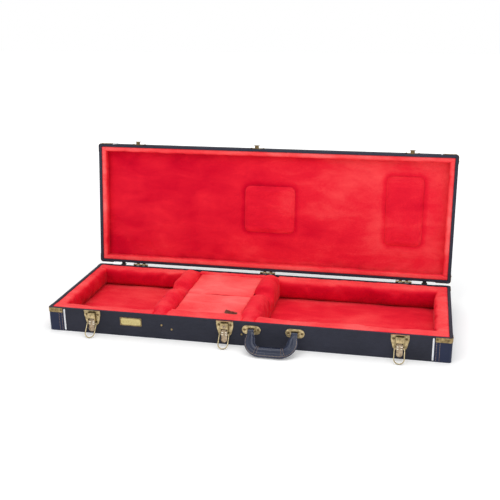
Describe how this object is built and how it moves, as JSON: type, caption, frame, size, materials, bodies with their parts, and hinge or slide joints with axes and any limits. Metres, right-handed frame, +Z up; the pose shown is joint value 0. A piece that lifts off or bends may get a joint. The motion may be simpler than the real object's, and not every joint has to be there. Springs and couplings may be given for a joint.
{
  "type": "guitar case",
  "caption": "Rectangular cloth-covered wooden case for an electric guitar, lid open, with leather ends, draw latches, a lock, a leather handle and a padded plush lining.",
  "frame": {"origin": "centre of the flat underside of the case", "axes": "+X along the length towards the body end, +Y towards the hinges, +Z up"},
  "size_m": [1.0646, 0.5243, 0.4414],
  "materials": {
    "plywood": "sanded",
    "covering": "woven",
    "navy_leather": "grained",
    "piping": "matte",
    "plush": "crushed velvet",
    "coral_plush": "crushed velvet",
    "antique_brass": "aged",
    "bright_brass": "polished",
    "wire": "plated",
    "rubber": "matte",
    "brown_leather": "grained"
  },
  "bodies": {
    "base": {"base_floor_panel": "plywood", "base_walls": "plywood", "base_bottom_cover": "covering", "base_side_cover": "covering", "base_leather_ends": "navy_leather", "base_piping": "piping", "base_corner_brackets": "antique_brass", "base_bracket_rivets": "antique_brass", "floor_plush": "plush", "head_wall_pads": "coral_plush", "neck_wall_pads": "coral_plush", "body_wall_pads": "coral_plush", "head_divider_core": "plywood", "head_divider_pad": "plush", "body_divider_core": "plywood", "body_divider_pad": "plush", "neck_panel_board": "plywood", "neck_panel_pad": "coral_plush", "accessory_wall": "plush", "accessory_ledge": "plush", "hinge_base_leaves": "antique_brass", "hinge_pins": "antique_brass", "lid_stops": "antique_brass", "stop_buttons": "rubber", "latch_plates": "antique_brass", "latch_pins": "antique_brass", "latch_rivets": "antique_brass", "handle_plates": "antique_brass", "handle_pins": "antique_brass", "handle_rivets": "antique_brass", "name_plate": "bright_brass", "small_nails": "antique_brass"},
    "lid": {"lid_top_panel": "plywood", "lid_walls": "plywood", "lid_top_cover": "covering", "lid_side_cover": "covering", "lid_leather_ends": "navy_leather", "lid_piping": "piping", "lid_corner_brackets": "antique_brass", "lid_bracket_rivets": "antique_brass", "lid_ceiling_pad": "plush", "lid_wall_pads": "coral_plush", "lid_neck_cushion": "plush", "lid_body_cushion": "plush", "hinge_lid_leaves": "antique_brass", "keepers": "antique_brass", "keeper_rivets": "antique_brass"},
    "accessory_lid": {"accessory_lid_board": "plywood", "accessory_lid_pad": "coral_plush", "pull_tab": "brown_leather"},
    "lever_left": {"lever_left": "bright_brass"},
    "lever_middle": {"lever_middle": "bright_brass"},
    "lever_right": {"lever_right": "bright_brass"},
    "bail_left": {"bail_left": "wire"},
    "bail_middle": {"bail_middle": "wire"},
    "bail_right": {"bail_right": "wire"},
    "lock_plug": {"lock_plug": "bright_brass"},
    "lock_bolt": {"lock_bolt": "bright_brass"},
    "handle": {"handle_strap": "navy_leather", "handle_sleeve": "navy_leather"}
  },
  "joints": [
    {"name": "lid_hinge", "type": "hinge", "parent": "base", "child": "lid", "pos_m": [0, 0.186, 0.0672], "axis": [1, 0, 0], "range_deg": [0, 97.5]},
    {"name": "lever_left_pivot", "type": "hinge", "parent": "base", "child": "lever_left", "pos_m": [-0.404, -0.1874, 0.0395], "axis": [1, 0, 0], "range_deg": [-110, 0]},
    {"name": "bail_left_swing", "type": "hinge", "parent": "lever_left", "child": "bail_left", "pos_m": [-0.404, -0.1884, 0.032], "axis": [-1, 0, 0], "range_deg": [0, 142]},
    {"name": "lever_middle_pivot", "type": "hinge", "parent": "base", "child": "lever_middle", "pos_m": [-0.04, -0.1874, 0.0395], "axis": [1, 0, 0], "range_deg": [-110, 0]},
    {"name": "bail_middle_swing", "type": "hinge", "parent": "lever_middle", "child": "bail_middle", "pos_m": [-0.04, -0.1884, 0.032], "axis": [-1, 0, 0], "range_deg": [0, 142]},
    {"name": "lever_right_pivot", "type": "hinge", "parent": "base", "child": "lever_right", "pos_m": [0.404, -0.1874, 0.0395], "axis": [1, 0, 0], "range_deg": [-110, 0]},
    {"name": "bail_right_swing", "type": "hinge", "parent": "lever_right", "child": "bail_right", "pos_m": [0.404, -0.1884, 0.032], "axis": [-1, 0, 0], "range_deg": [0, 142]},
    {"name": "handle_swing", "type": "hinge", "parent": "base", "child": "handle", "pos_m": [0.0863, -0.1876, 0.0464], "axis": [-1, 0, 0], "range_deg": [0, 90]},
    {"name": "accessory_lid_fold", "type": "hinge", "parent": "base", "child": "accessory_lid", "pos_m": [-0.102, 0.006, 0.06], "axis": [1, 0, 0], "range_deg": [-95, 0]},
    {"name": "lock_turn", "type": "hinge", "parent": "base", "child": "lock_plug", "pos_m": [-0.04, -0.1904, 0.0527], "axis": [0, 1, 0], "range_deg": [0, 90]},
    {"name": "lock_bolt_slide", "type": "slide", "parent": "base", "child": "lock_bolt", "axis": [0, 0, -1], "range_m": [0, 0.003]}
  ],
  "couplings": [
    {"joint": "lock_turn", "follows": "lock_bolt_slide", "rad_per_m": 523.59}
  ]
}
